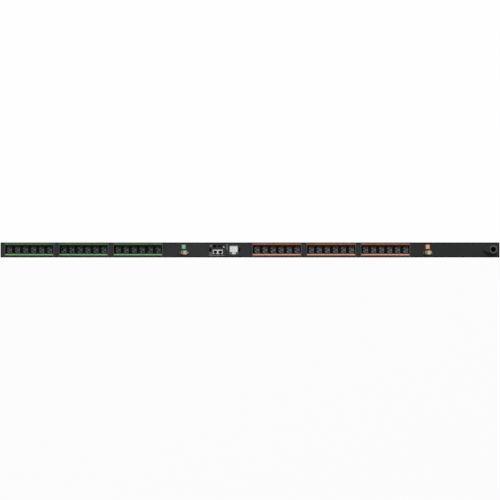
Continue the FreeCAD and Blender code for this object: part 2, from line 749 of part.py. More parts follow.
def controller_fascia():
    part = controller_piece("controller_fascia")
    flat = sketch(part, "XZ_Plane")
    rectangle(flat, "0", "0", "fascia_length", "fascia_height")
    plate = pad(part, flat, "fascia_sheet")

    def corner(middle, along):
        return abs(along.y) > 0.9
    soften(part, plate, corner, "fascia_radius")
    flat = sketch(part, "XZ_Plane", "-skirt_depth")
    rectangle(flat, "0", "0", "skirt_length", "skirt_height")
    rectangle(flat, "0", "0", "inside_length", "inside_height")
    pad(part, flat, "skirt_depth")
    flat = sketch(part, "XZ_Plane", "-board_depth")
    for across, up in post_places():
        rectangle(flat, across, up, "post_side", "post_side")
    pad(part, flat, "board_depth")
    flat = sketch(part, "XZ_Plane", "fascia_sheet")
    network_frame(flat, "fit_gap")
    rectangle(flat, "sensor_middle", "sensor_lift", "sensor_length + 2 * fit_gap",
              "sensor_height + 2 * fit_gap")
    rectangle(flat, "usb_middle", "usb_lift", "usb_length + 2 * fit_gap", "usb_height + 2 * fit_gap")
    rectangle(flat, "light_middle", "light_lift", "light_length", "light_height")
    rectangle(flat, "display_middle", "display_lift", "display_length", "display_height")
    for name, across, wide in key_places():
        rectangle(flat, across, "-key_drop", f"{wide} + 2 * key_gap", "key_height + 2 * key_gap")
    circle(flat, "reset_middle", "reset_lift", "reset_radius + key_gap")
    pocket(part, flat, "fascia_sheet")
    finger_slots(part)


def finger_slots(part):
    """Two bow-shaped slots for fingertips, their round sides outwards."""
    flat = sketch(part, "XZ_Plane", "fascia_sheet")
    radius = "(finger_height ^ 2 / 4 + finger_width ^ 2) / (2 * finger_width)"
    for side in (-1, 1):
        facing = (1 - side) * math.pi / 2
        disc = Part.Circle(FreeCAD.Vector(0, 0, 0), FreeCAD.Vector(0, 0, 1), 1.0)
        start, end = facing - math.pi / 2, facing + math.pi / 2
        arc = flat.addGeometry(Part.ArcOfCircle(disc, start, end))
        chord = flat.addGeometry(Part.LineSegment(FreeCAD.Vector(0, side, 0), FreeCAD.Vector(0, -side, 0)))
        flat.addConstraint(Sketcher.Constraint("Coincident", arc, 2, chord, 1))
        flat.addConstraint(Sketcher.Constraint("Coincident", chord, 2, arc, 1))
        flat.addConstraint(Sketcher.Constraint("Vertical", chord))
        inner = f"{side} * (finger_offset - finger_width / 2)"
        pin(flat, arc, 3, f"{side} * (finger_offset + finger_width / 2 - {radius})", "0")
        held = flat.addConstraint(Sketcher.Constraint("Radius", arc, 1.0))
        flat.setExpression(f"Constraints[{held}]", bound(radius))
        held = flat.addConstraint(Sketcher.Constraint("DistanceX", -1, 1, chord, 1, 1.0))
        flat.setExpression(f"Constraints[{held}]", bound(inner))
    pocket(part, flat, "fascia_sheet")


def controller_board():
    part = controller_piece("controller_board")
    flat = sketch(part, "XZ_Plane", "-board_depth - board_sheet")
    rectangle(flat, "0", "0", "inside_length - 2 * board_gap",
              "inside_height - 2 * board_gap")
    pad(part, flat, "board_sheet")
    screws = controller_piece("board_screws")
    flat = sketch(screws, "XZ_Plane", "-board_depth - board_sheet - board_screw_rise")
    for across, up in post_places():
        hexagon(flat, across, up, "board_screw_head")
    pad(screws, flat, "board_screw_rise")


def jack(name, mouths, frame_across, frame_up, wide, high, latch):
    """Socket block from the board to just proud of the fascia, with its mouths cut in."""
    part = controller_piece(name)
    flat = sketch(part, "XZ_Plane", "-board_depth")
    rectangle(flat, frame_across, frame_up, wide, high)
    pad(part, flat, "board_depth + fascia_sheet + socket_proud")
    flat = sketch(part, "XZ_Plane", "fascia_sheet + socket_proud")
    latch_width, latch_drop = latch
    for across, top, mouth, mouth_height in mouths:
        low = f"{top} - {mouth_height}"
        outline(flat, ((f"{across} + {mouth} / 2", low), (f"{across} + {mouth} / 2", top),
                       (f"{across} - {mouth} / 2", top), (f"{across} - {mouth} / 2", low),
                       (f"{across} - {latch_width} / 2", low),
                       (f"{across} - {latch_width} / 2", f"{low} - {latch_drop}"),
                       (f"{across} + {latch_width} / 2", f"{low} - {latch_drop}"),
                       (f"{across} + {latch_width} / 2", low)))
    pocket(part, flat, "board_depth + fascia_sheet + socket_proud - socket_back")


def sockets():
    mouths = []
    for side in ("-1", "1"):
        mouths.append((f"network_middle + {side} * network_spread / 2", "network_mouth_top",
                       "network_mouth", "network_mouth_height"))
    jack("network_jack", mouths, "network_middle", "(network_top + network_bottom) / 2",
         "network_length", "(network_top - network_bottom)", ("network_latch", "network_latch_drop"))
    sensor_top = "sensor_lift + (sensor_mouth_height + sensor_latch_drop) / 2"
    jack("sensor_jack", [("sensor_middle", sensor_top, "sensor_mouth", "sensor_mouth_height")],
         "sensor_middle", "sensor_lift", "sensor_length", "sensor_height",
         ("sensor_latch", "sensor_latch_drop"))
    part = controller_piece("usb_port")
    flat = sketch(part, "XZ_Plane", "-board_depth")
    rectangle(flat, "usb_middle", "usb_lift", "usb_length", "usb_height")
    pad(part, flat, "board_depth + fascia_sheet + socket_proud")
    flat = sketch(part, "XZ_Plane", "fascia_sheet + socket_proud")
    rectangle(flat, "usb_middle", "usb_lift", "usb_length - 2 * usb_wall", "usb_height - 2 * usb_wall")
    rectangle(flat, "usb_middle", "usb_lift + usb_tongue / 2", "usb_tongue_length", "usb_tongue")
    pocket(part, flat, "board_depth + fascia_sheet + socket_proud - socket_back")


def display_and_light():
    panel = controller_piece("display_panel")
    flat = sketch(panel, "XZ_Plane", "-display_depth")
    rectangle(flat, "display_middle", "display_lift", "display_length + 2 * display_lap",
              "display_height + 2 * display_lap")
    pad(panel, flat, "display_depth")
    lens = controller_piece("display_window")
    flat = sketch(lens, "XZ_Plane")
    rectangle(flat, "display_middle", "display_lift", "display_length - 2 * fit_gap",
              "display_height - 2 * fit_gap")
    pad(lens, flat, "lens_sheet")
    light = controller_piece("status_light")
    flat = sketch(light, "XZ_Plane", "-light_depth")
    rectangle(flat, "light_middle", "light_lift", "light_length - 2 * fit_gap",
              "light_height - 2 * fit_gap")
    pad(light, flat, "light_depth + fascia_sheet")


def key(name, across, up, wide):
    """Key cap, its retaining flange behind the fascia and the stem that meets its switch."""
    part = controller_piece(name)
    flange_back = "key_rest_gap + key_flange_sheet"
    flat = sketch(part, "XZ_Plane", "-key_rest_gap")
    if wide:
        rectangle(flat, across, up, wide, "key_height")
    else:
        circle(flat, across, up, "reset_radius")
    pad(part, flat, "key_rest_gap + fascia_sheet + key_proud")
    flat = sketch(part, "XZ_Plane", f"-({flange_back})")
    if wide:
        rectangle(flat, across, up, f"{wide} + 2 * key_flange", "key_height + 2 * key_flange")
    else:
        circle(flat, across, up, "reset_radius + 2 * key_flange")
    pad(part, flat, "key_flange_sheet")
    stem_end = "board_depth - switch_height - plunger_height - key_travel - key_rest_gap"
    flat = sketch(part, "XZ_Plane", f"-({stem_end})")
    rectangle(flat, across, up, "stem_side", "stem_side")
    pad(part, flat, f"{stem_end} - ({flange_back})")


def keys():
    places = []
    for name, across, wide in key_places():
        key(name, across, "-key_drop", wide)
        places.append((across, "-key_drop"))
    key("reset_button", "reset_middle", "reset_lift", "")
    places.append(("reset_middle", "reset_lift"))
    switches = controller_piece("tact_switches")
    flat = sketch(switches, "XZ_Plane", "-board_depth")
    for across, up in places:
        rectangle(flat, across, up, "switch_side", "switch_side")
    pad(switches, flat, "switch_height")
    flat = sketch(switches, "XZ_Plane", "-board_depth + switch_height")
    for across, up in places:
        rectangle(flat, across, up, "plunger_side", "plunger_side")
    pad(switches, flat, "plunger_height")


# Cord entry

def boss_piece(name):
    return piece(name, x="boss_middle", y=FRONT, z=f"{MIDDLE} + boss_lift")


def teardrop(flat):
    """Round end, small round tip to the left and two straight sides tangent to both."""
    big, small, reach = number("boss_radius"), number("boss_tip_radius"), number("boss_tail")
    lean = math.acos((big - small) / reach)
    centre, tip = FreeCAD.Vector(0, 0, 0), FreeCAD.Vector(-reach, 0, 0)
    up = FreeCAD.Vector(0, 0, 1)
    start, end = math.pi - lean, math.pi + lean
    big_arc = flat.addGeometry(Part.ArcOfCircle(Part.Circle(centre, up, big), end, start + 2 * math.pi))
    small_arc = flat.addGeometry(Part.ArcOfCircle(Part.Circle(tip, up, small), start, end))

    def on(middle, radius, angle):
        return middle + FreeCAD.Vector(radius * math.cos(angle), radius * math.sin(angle), 0)
    top = flat.addGeometry(Part.LineSegment(on(centre, big, start), on(tip, small, start)))
    low = flat.addGeometry(Part.LineSegment(on(tip, small, end), on(centre, big, end)))
    joints = ((big_arc, 2, top, 1), (top, 2, small_arc, 1), (small_arc, 2, low, 1), (low, 2, big_arc, 1))
    for one, one_end, other, other_end in joints:
        flat.addConstraint(Sketcher.Constraint("Tangent", one, one_end, other, other_end))
    pin(flat, big_arc, 3, "0", "0")
    pin(flat, small_arc, 3, "-boss_tail", "0")
    for arc, radius in ((big_arc, "boss_radius"), (small_arc, "boss_tip_radius")):
        held = flat.addConstraint(Sketcher.Constraint("Radius", arc, 1.0))
        flat.setExpression(f"Constraints[{held}]", bound(radius))


def cord_boss():
    part = boss_piece("cord_boss")
    flat = sketch(part, "XZ_Plane")
    teardrop(flat)
    pad(part, flat, "boss_height")
    flat = sketch(part, "XY_Plane")
    beyond = "-boss_tail - 2 * boss_tip_radius"
    outline(flat, ((beyond, "-boss_tip_height"), ("-boss_crown", "-boss_height"),
                   ("-boss_crown", "-2 * boss_height"), (beyond, "-2 * boss_height")))
    pocket(part, flat, "4 * boss_radius", both=True)
    flat = sketch(part, "XZ_Plane", "boss_height")
    circle(flat, "0", "0", "gland_radius + gland_gap")
    pocket(part, flat, "2 * boss_height")


def cord_gland():
    part = boss_piece("cord_gland")
    neck_end = "channel_sheet + nut_height + gland_tail"
    flat = sketch(part, "XY_Plane")
    outline(flat, (("gland_bore", neck_end), ("gland_radius", neck_end),
                   ("gland_radius", "-boss_height"), ("gland_flange", "-boss_height"),
                   ("gland_flange", "-boss_height - gland_flange_sheet"),
                   ("gland_bore", "-boss_height - gland_flange_sheet")))
    spin(part, "PartDesign::Revolution", flat)
    nut = boss_piece("gland_nut")
    flat = sketch(nut, "XZ_Plane", "-channel_sheet - nut_height")
    hexagon(flat, "0", "0", "nut_radius")
    circle(flat, "0", "0", "gland_radius + gland_gap")
    pad(nut, flat, "nut_height")


def terminal_block():
    """Stepped block on the lower long side, with a square cage for each supply core."""
    part = piece("terminal_block", x="terminal_middle", z="channel_sheet")
    flat = sketch(part, "YZ_Plane")
    outline(flat, (("-terminal_front", "0"), ("terminal_back", "0"), ("terminal_back", "terminal_height"),
                   ("-terminal_front + terminal_step", "terminal_height"),
                   ("-terminal_front", "terminal_height - terminal_step")))
    pad(part, flat, "terminal_length", both=True)
    flat = sketch(part, "YZ_Plane", "terminal_length / 2")
    middle = "(terminal_back + terminal_step - terminal_front) / 2"
    rectangle(flat, middle, "terminal_height / 2 - terminal_pitch * (terminal_count - 1) / 2",
              "terminal_cage", "terminal_cage")
    cage = pocket(part, flat, "terminal_cage_depth")
    repeat(part, [cage], row_of(part, "terminal_pitch * (terminal_count - 1)", "terminal_count", "Z_Axis"))


def check_and_write():
    """Stop if anything failed, then write one file for each sub-part."""
    doc.recompute()
    for item in doc.Objects:
        if "Invalid" in item.State or "Error" in item.State:
            raise RuntimeError(f"{item.Label} failed: {item.State}")
    for part in pieces:
        if part.Shape.isNull() or not part.Shape.isValid() or not part.Shape.Solids:
            raise RuntimeError(f"{part.Label} has no valid solid")
    os.makedirs("parts", exist_ok=True)
    for part in pieces:
        part.Shape.exportStep(f"parts/{part.Label}.step")
        print(part.Label, len(part.Shape.Solids), round(part.Shape.Volume, 1))


front_channel()
rear_cover()
end_cap("end_cap_left", -1)
end_cap("end_cap_right", 1)
mounting_buttons()
for bank_number in range(1, 7):
    outlet_tray(bank_number)
    outlet_cores(bank_number)
    colour_rails(bank_number)
contact_strips()
for ending, breaker_place in (("1", "breaker_left"), ("2", "breaker_right")):
    breaker_body(f"breaker_body_{ending}", breaker_place)
    breaker_rocker(f"breaker_rocker_{ending}", breaker_place)
    breaker_label(f"breaker_label_{ending}", breaker_place)
controller_fascia()
controller_board()
sockets()
display_and_light()
keys()
cord_boss()
cord_gland()
terminal_block()
check_and_write()
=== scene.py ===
"""Looks of the rack power distribution unit, lying on its long side on a pale floor.

Metres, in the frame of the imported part: +X along the bar, -Y the outlet face, +Z up.
"""
import math

import bmesh
import bpy
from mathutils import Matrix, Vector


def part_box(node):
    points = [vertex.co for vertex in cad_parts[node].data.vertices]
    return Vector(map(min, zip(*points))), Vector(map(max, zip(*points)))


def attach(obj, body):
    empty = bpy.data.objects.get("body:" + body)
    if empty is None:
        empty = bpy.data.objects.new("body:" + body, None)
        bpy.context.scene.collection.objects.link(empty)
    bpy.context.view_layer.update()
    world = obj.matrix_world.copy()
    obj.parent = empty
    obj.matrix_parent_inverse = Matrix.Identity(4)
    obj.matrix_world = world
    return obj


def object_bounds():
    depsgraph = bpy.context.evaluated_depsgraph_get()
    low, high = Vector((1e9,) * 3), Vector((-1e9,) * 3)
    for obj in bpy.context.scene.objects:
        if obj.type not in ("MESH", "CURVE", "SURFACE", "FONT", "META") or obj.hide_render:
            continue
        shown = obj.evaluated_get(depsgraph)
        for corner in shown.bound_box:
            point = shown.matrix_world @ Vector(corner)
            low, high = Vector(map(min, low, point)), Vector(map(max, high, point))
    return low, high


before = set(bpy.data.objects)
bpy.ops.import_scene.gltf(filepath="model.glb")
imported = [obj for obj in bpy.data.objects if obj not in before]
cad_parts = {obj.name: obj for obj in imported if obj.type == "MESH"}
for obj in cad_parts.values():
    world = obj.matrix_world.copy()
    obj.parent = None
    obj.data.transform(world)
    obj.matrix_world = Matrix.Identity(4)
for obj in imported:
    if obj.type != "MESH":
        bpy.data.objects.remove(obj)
bpy.context.view_layer.update()
cad_low, cad_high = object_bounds()

MM = 0.001
HALF_LONG = (cad_high.x - cad_low.x) / 2
HALF_HIGH = (cad_high.z - cad_low.z) / 2
MIDDLE_Z = (cad_low.z + cad_high.z) / 2
# The gland stands 12 mm in front of the outlet face
FACE = cad_low.y + 12 * MM
# Banks of six outlets, each outlet in a socket block of its own
BANKS = range(1, 7)
FIRST_ORANGE_BANK = 4
OUTLETS = 6
CORE_LENGTH = 17.5 * MM
# Middles of the two network mouths, from the middle of their jack
NETWORK_MOUTHS = (-9 * MM, 9 * MM)
# Half the thickness of a printed figure
PRINT = 0.02 * MM
# Size of the font over the height of its figures
FONT_SIZE = 1.38
CORNERS = ((-1, -1), (1, -1), (1, 1), (-1, 1))
WHITE = (1.0, 1.0, 1.0, 1.0)


def socket_blocks(bank):
    """The middle of a bank's first socket block, and the pitch to the next one."""
    low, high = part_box(f"outlet_cores_{bank}")
    return low.x + CORE_LENGTH / 2, (high.x - low.x - CORE_LENGTH) / (OUTLETS - 1)


def ink(red, green, blue):
    """Linear colour of an sRGB value from 0 to 255."""
    def linear(value):
        value /= 255
        return value / 12.92 if value <= 0.04045 else ((value + 0.055) / 1.055) ** 2.4
    return (linear(red), linear(green), linear(blue), 1.0)


def toned(colour, times):
    """A colour with its light multiplied."""
    return tuple(tone * times for tone in colour[:3]) + (1.0,)


class Wire:
    """One output socket of a node. Arithmetic on it adds the Math nodes."""

    def __init__(self, nodes, socket):
        self.nodes = nodes
        self.socket = socket

    def beside(self, name):
        """Another output of the same node."""
        return Wire(self.nodes, self.socket.node.outputs[name])

    def math(self, operation, *values):
        return self.nodes.node("ShaderNodeMath", {"operation": operation}, values)

    def __add__(self, other):
        return self.math("ADD", self, other)

    def __radd__(self, other):
        return self.math("ADD", other, self)

    def __sub__(self, other):
        return self.math("SUBTRACT", self, other)

    def __rsub__(self, other):
        return self.math("SUBTRACT", other, self)

    def __mul__(self, other):
        return self.math("MULTIPLY", self, other)

    def __rmul__(self, other):
        return self.math("MULTIPLY", other, self)

    def __truediv__(self, other):
        return self.math("DIVIDE", self, other)

    def __rtruediv__(self, other):
        return self.math("DIVIDE", other, self)

    def __mod__(self, other):
        return self.math("MODULO", self, other)

    def __rmod__(self, other):
        return self.math("MODULO", other, self)

    def __neg__(self):
        return 0.0 - self

    def __abs__(self):
        return self.math("ABSOLUTE", self)

    def __gt__(self, other):
        return self.math("GREATER_THAN", self, other)

    def __lt__(self, other):
        return self.math("LESS_THAN", self, other)

    def larger(self, other):
        return self.math("MAXIMUM", self, other)

    def ramp(self, start, end):
        """0 up to start, 1 from end, smooth between."""
        return self.nodes.node("ShaderNodeMapRange", {"interpolation_type": "SMOOTHSTEP"},
                               {0: self, 1: start, 2: end, 3: 0.0, 4: 1.0})


class Nodes:
    """A node tree, with the one way in which its nodes are added."""

    def __init__(self, tree):
        self.tree = tree

    def node(self, kind, settings=None, values=(), out=0):
        """Add a node: its settings first, then the values or links of its sockets."""
        made = self.tree.nodes.new(kind)
        for name, value in (settings or {}).items():
            setattr(made, name, value)
        for socket, value in values.items() if isinstance(values, dict) else enumerate(values):
            if isinstance(value, Wire):
                self.tree.links.new(value.socket, made.inputs[socket])
            else:
                made.inputs[socket].default_value = value
        return Wire(self, made.outputs[out]) if made.outputs else None

    def either(self, *masks):
        """The masks added up, 1 at most."""
        total = sum(masks[1:], masks[0])
        return total.math("MINIMUM", total, 1.0)

    def looked_at(self):
        """1 for rays from the camera and for those that mirrors and clear pieces pass on."""
        camera = self.node("ShaderNodeLightPath", out="Is Camera Ray")
        return self.either(camera, camera.beside("Is Glossy Ray"), camera.beside("Is Transmission Ray"))


class Finish(Nodes):
    """A node material for one of the unit's finishes."""

    def __init__(self, name, gloss=0.5, metallic=0.0, alpha=1.0):
        self.material = bpy.data.materials.new(name)
        self.material.use_nodes = True
        super().__init__(self.material.node_tree)
        self.shader = self.tree.nodes["Principled BSDF"]
        self.feed("Specular IOR Level", gloss)
        self.feed("Metallic", metallic)
        self.feed("Alpha", alpha)
        self.here = self.node("ShaderNodeTexCoord", out="Object")
        self.x = self.node("ShaderNodeSeparateXYZ", {}, [self.here])
        self.y, self.z = self.x.beside("Y"), self.x.beside("Z")

    def feed(self, socket, value):
        """Set one of the shader's own sockets, or link it."""
        if isinstance(value, Wire):
            self.tree.links.new(value.socket, self.shader.inputs[socket])
        else:
            self.shader.inputs[socket].default_value = value

    def stretched(self, along, across, up):
        """The place on the piece, with each axis multiplied."""
        return self.node("ShaderNodeVectorMath", {"operation": "MULTIPLY"},
                         [self.here, (along, across, up)])

    def noise(self, size, detail=2.0, place=None):
        """Cloudy pattern from 0 to 1 with patches of about the given size in millimetres."""
        return self.node("ShaderNodeTexNoise", {},
                         {"Vector": place or self.here, "Scale": 1 / (size * MM), "Detail": detail})

    def mix(self, factor, first, second):
        return self.node("ShaderNodeMix", {"data_type": "RGBA"}, {0: factor, 6: first, 7: second}, 2)

    def bump(self, height, depth):
        """Raise the surface by a height from 0 to 1, times a depth in millimetres."""
        self.feed("Normal", self.node("ShaderNodeBump", {},
                                      {"Strength": 1.0, "Distance": depth * MM, "Height": height}))

    def skin(self, colour, paler, rough, grain, depth, patch=30.0):
        """Feed the roughness and relief that most of the finishes share, and return their colour."""
        fine = self.noise(grain, 4.0)
        cloud = self.noise(patch, 3.0)
        self.feed("Roughness", cloud * 0.12 + (rough - 0.06))
        self.bump(fine, depth)
        return self.mix((fine * 0.45 + cloud * 0.75 - 0.1).ramp(0.3, 0.7), colour, paler)


def coated_sheet(name, colour, paler, scuff):
    """Fine-textured powder coat with painted shade along the folds of the front and towards the cord
    end, scuffed at the corners.
    """
    finish = Finish(name, gloss=0.12)
    painted = finish.skin(colour, paler, rough=0.58, grain=0.55, depth=0.05, patch=70.0)
    off_middle, off_centre = abs(finish.z - MIDDLE_Z), abs(finish.x)
    # Painted shade: bands along the front's folds, and a fall-off towards the cord end
    long_fold_shade = off_middle.ramp(HALF_HIGH - 6.0 * MM, HALF_HIGH - 3.0 * MM)
    end_fold_shade = off_centre.ramp(HALF_LONG - 5.0 * MM, HALF_LONG - 2.5 * MM)
    fold_shade = long_fold_shade.larger(end_fold_shade) * (finish.y < FACE + 0.7 * MM)
    cord_end_shade = finish.x.ramp(520 * MM, 620 * MM) * 0.3
    shaded = finish.mix(finish.either(fold_shade * 0.85, cord_end_shade), painted, ink(10, 11, 11))
    corner = (off_middle.ramp(HALF_HIGH - 1.1 * MM, HALF_HIGH - 0.1 * MM)
              * off_centre.ramp(HALF_LONG - 1.9 * MM, HALF_LONG - 0.1 * MM))
    paler_mask = finish.noise(3.0, 5.0).ramp(0.56, 0.68)
    finish.feed("Base Color", finish.mix(corner * paler_mask, shaded, scuff))
    return finish


def moulded(name, colour, paler, rough, grain=0.35, depth=0.02, alpha=1.0):
    """Moulded plastic with a fine spark texture."""
    finish = Finish(name, gloss=0.14, alpha=alpha)
    finish.feed("Base Color", finish.skin(colour, paler, rough, grain, depth))
    return finish


def printed(name, colour, paler, rough=0.6, grain=0.3):
    """Thin, flat print."""
    return moulded(name, colour, paler, rough, grain, depth=0.004)


def tray_finish(name):
    """Black moulding whose end rims are grey on the front."""
    finish = Finish(name, gloss=0.14)
    body = finish.skin(ink(31, 31, 33), ink(42, 42, 44), rough=0.5, grain=0.5, depth=0.03)
    rims = []
    for bank in BANKS:
        low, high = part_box(f"outlet_tray_{bank}")
        half = (high.x - low.x) / 2
        off_side = abs(finish.x - (low.x + high.x) / 2)
        rims.append(off_side.ramp(half - 4.2 * MM, half - 3.4 * MM) * (off_side < half + 1 * MM))
    paler_mask = finish.either(*rims) * (finish.y < FACE + 0.5 * MM)
    finish.feed("Base Color", finish.mix(paler_mask, body, ink(68, 68, 67)))
    return finish


def core_finish(name, colour, paler):
    """Socket blocks with painted shade round the mouth of each of the three slots."""
    finish = Finish(name, gloss=0.14)
    body = finish.skin(colour, paler, rough=0.42, grain=0.4, depth=0.02)
    inside = []
    for bank in BANKS:
        first, pitch = socket_blocks(bank)
        along = finish.x - (first - pitch / 2)
        inside.append(along * (along > 0.0) * (along < pitch * OUTLETS))
    off_side = sum(inside[1:], inside[0]) % pitch - pitch / 2
    off_up = abs(finish.z - MIDDLE_Z)

    # Painted shade in the lead-in round one slot's mouth
    def funnel(across, up):
        return abs(across).ramp(4.2 * MM, 3.4 * MM) * abs(up).ramp(2.8 * MM, 2.1 * MM)
    earth_slot_shade = funnel(off_side + 4.8 * MM, off_up)
    line_slots_shade = funnel(off_side - 2.5 * MM, off_up - 7.0 * MM)
    finish.feed("Base Color", finish.mix(finish.either(earth_slot_shade, line_slots_shade), body, ink(7, 7, 8)))
    return finish


def strip_finish(name, colour, paler, band, shade_and_edge_tone):
    """Coloured strip: a paler band along the lower strip's inner slope, where the outlet numbers sit,
    painted shade on slopes that face down, and darker along the top strip's outer edge.
    """
    finish = Finish(name, gloss=0.12)
    body = finish.skin(colour, paler, rough=0.46, grain=0.5, depth=0.02)
    # Painted shade on slopes that face down, read from the surface's normal
    facing = finish.node("ShaderNodeNewGeometry", out="Normal")
    upward = finish.node("ShaderNodeSeparateXYZ", {}, [facing], "Z")
    lower_slope_band = abs(finish.z - (MIDDLE_Z - 16.8 * MM)).ramp(2.2 * MM, 1.6 * MM)
    top_edge_dark = finish.z.ramp(MIDDLE_Z + 22.1 * MM, MIDDLE_Z + 22.9 * MM) * 0.35
    shade_and_top_edge = finish.either((-upward).ramp(0.15, 0.5), top_edge_dark)
    finish.feed("Base Color", finish.mix(shade_and_top_edge, finish.mix(lower_slope_band, body, band), shade_and_edge_tone))
    return finish


def metal(name, colour, paler, rough, lay=(1.0, 1.0, 1.0)):
    """Bare or plated metal with faint rolling marks along one axis."""
    finish = Finish(name, metallic=1.0)
    marks = finish.noise(0.6, 4.0, finish.stretched(*lay))
    stain = finish.noise(9.0, 3.0).ramp(0.35, 0.75)
    finish.feed("Base Color", finish.mix(stain, colour, paler))
    finish.feed("Roughness", marks * 0.2 + (rough - 0.1))
    finish.bump(marks, 0.012)
    return finish


def rocker_finish(number, shaded_side, lit_side, offset):
    """Rocker painted shaded on one side of a line near its middle and lit on the other, with rubbed
    patches.
    """
    finish = Finish(f"rocker_{number}_plastic", gloss=0.4)
    low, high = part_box(f"breaker_rocker_{number}")
    split = (low.x + high.x) / 2 + offset
    fine = finish.noise(0.4, 4.0)
    rub = finish.noise(2.5, 3.0)
    body = finish.mix(finish.x.ramp(split - 0.3 * MM, split + 0.3 * MM), shaded_side, lit_side)
    finish.feed("Base Color", finish.mix(rub.ramp(0.55, 0.8) * 0.25, body, ink(92, 82, 60)))
    finish.feed("Roughness", rub * 0.2 + 0.32)
    finish.bump(fine, 0.015)
    return finish


def label_finish(name, node, field, border):
    """Printed plate: a bright field inside a darker border."""
    finish = Finish(name, gloss=0.3)
    low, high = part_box(node)
    middle = (low + high) / 2
    field_x = (high.x - low.x) / 2 - 2.2 * MM
    field_z = (high.z - low.z) / 2 - 1.4 * MM
    fade = 1.0 * MM
    fine = finish.noise(0.8, 4.0)
    edge = finish.either(abs(finish.x - middle.x).ramp(field_x, field_x + fade),
                         abs(finish.z - middle.z).ramp(field_z, field_z + fade))
    finish.feed("Base Color", finish.mix(edge, finish.mix(fine, field, toned(field, 1.2)), border))
    finish.feed("Roughness", fine * 0.15 + 0.42)
    finish.bump(fine, 0.01)
    return finish


def shelled_socket(name, node, bright, wall=0.0, rim=0.0, mouths=()):
    """Metal face with a black inside, also within the wall and along the rim, and painted shade round
    the mouths.
    """
    finish = Finish(name, gloss=0.08)
    low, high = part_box(node)
    middle, half = (low + high) / 2, (high - low) / 2
    off_side, off_up = abs(finish.x - middle.x), abs(finish.z - middle.z)
    black_and_mouth_shade = finish.y > low.y + 0.35 * MM
    if wall:
        black_and_mouth_shade = black_and_mouth_shade.larger((off_side < half.x - wall) * (off_up < half.z - wall))
    # Painted shade on the face round each mouth
    for mouth in mouths:
        near_x = abs(finish.x - (middle.x + mouth)) < 6.3 * MM
        near_z = abs(finish.z - (middle.z - 0.3 * MM)) < 4.6 * MM
        black_and_mouth_shade = black_and_mouth_shade.larger(near_x * near_z * 0.9)
    if rim:
        black_and_mouth_shade = black_and_mouth_shade.larger(finish.either(off_side > half.x - rim, off_up > half.z - rim) * 0.85)
    marks = finish.noise(0.5, 4.0)
    tin = finish.mix(marks, bright, toned(bright, 1.25))
    finish.feed("Base Color", finish.mix(black_and_mouth_shade, tin, ink(9, 9, 10)))
    finish.feed("Roughness", marks * 0.2 + 0.35)
    finish.bump(marks, 0.01)
    return finish


def circuit_board(name):
    """Green solder mask over copper tracks, near-black as painted shade for what shows through the
    fascia's slots.
    """
    finish = Finish(name, gloss=0.06)
    black = (0.0, 0.0, 0.0, 1.0)
    track = finish.node("ShaderNodeTexBrick", {"offset": 0.35},
                        {"Vector": finish.stretched(1.0, 0.0, 1.0), "Scale": 1 / (9 * MM),
                         "Mortar Size": 0.06, "Color1": black, "Color2": black, "Mortar": WHITE}, "Fac")
    fine = finish.noise(1.2, 3.0)
    finish.feed("Base Color", finish.mix(track * 0.6 + fine * 0.2, ink(4, 20, 12), ink(14, 40, 24)))
    finish.feed("Roughness", fine * 0.2 + 0.25)
    finish.bump(track, 0.03)
    return finish


def display_surface(name):
    """Pale backlit panel with a faint pixel grid, a brighter middle and a dim border."""
    finish = Finish(name, gloss=0.2)
    low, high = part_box("display_window")
    middle, half = (low + high) / 2, (high - low) / 2
    above = finish.z - middle.z
    off_side, off_up = abs(finish.x - middle.x), abs(above)
    grid = finish.noise(0.35, 1.0)
    glow = 1.0 - (off_side / (16 * MM) + off_up / (14 * MM)) * 0.12
    face = finish.mix((glow * 0.92 + grid * 0.08).ramp(0.2, 1.0), ink(146, 151, 154), ink(219, 221, 220))
    border = finish.either(off_side.ramp(half.x - 3.4 * MM, half.x - 2.4 * MM),
                           above.ramp(half.z - 1.8 * MM, half.z - 1.0 * MM))
    lit = finish.mix(border, face, ink(112, 116, 116))
    finish.feed("Base Color", lit)
    finish.feed("Emission Color", lit)
    finish.feed("Emission Strength", 0.15)
    finish.feed("Roughness", grid * 0.1 + 0.3)
    return finish


def stage_finish(name, colour, rough):
    """White to look at and in reflections, except for the shadow that falls on it."""
    finish = Finish(name)
    finish.feed("Base Color", finish.mix(finish.noise(4.0, 3.0), colour, toned(colour, 0.98)))
    finish.feed("Roughness", rough)
    lit = Wire(finish, finish.shader.outputs["BSDF"])
    white = finish.node("ShaderNodeEmission", {}, {"Color": WHITE, "Strength": 1.0})
    mixed = finish.node("ShaderNodeMixShader", {}, [finish.looked_at() * 0.95, lit, white])
    finish.tree.links.new(mixed.socket, finish.tree.nodes["Material Output"].inputs["Surface"])
    return finish


# Finishes

chassis_coat = coated_sheet("chassis_coat", ink(39, 41, 40), ink(46, 48, 47), ink(86, 86, 84))
zinc = metal("zinc_steel", ink(150, 152, 154), ink(178, 180, 182), 0.34)
# Brass far darker than its own colour: painted shade on the contacts deep in the slots and mouths
shaded_brass = metal("contact_brass", ink(30, 24, 13), ink(52, 41, 22), 0.42, lay=(0.2, 1.0, 1.0))

tray_black = tray_finish("tray_plastic")
core_black = core_finish("core_plastic", ink(62, 64, 66), ink(78, 79, 81))
core_grey = core_finish("core_plastic_grey", ink(78, 79, 81), ink(96, 96, 98))
strip_green = strip_finish("green_plastic", ink(54, 88, 56), ink(68, 102, 68),
                           band=ink(78, 124, 80), shade_and_edge_tone=ink(6, 46, 6))
strip_orange = strip_finish("orange_plastic", ink(122, 78, 58), ink(138, 92, 70),
                            band=ink(156, 110, 89), shade_and_edge_tone=ink(88, 28, 8))

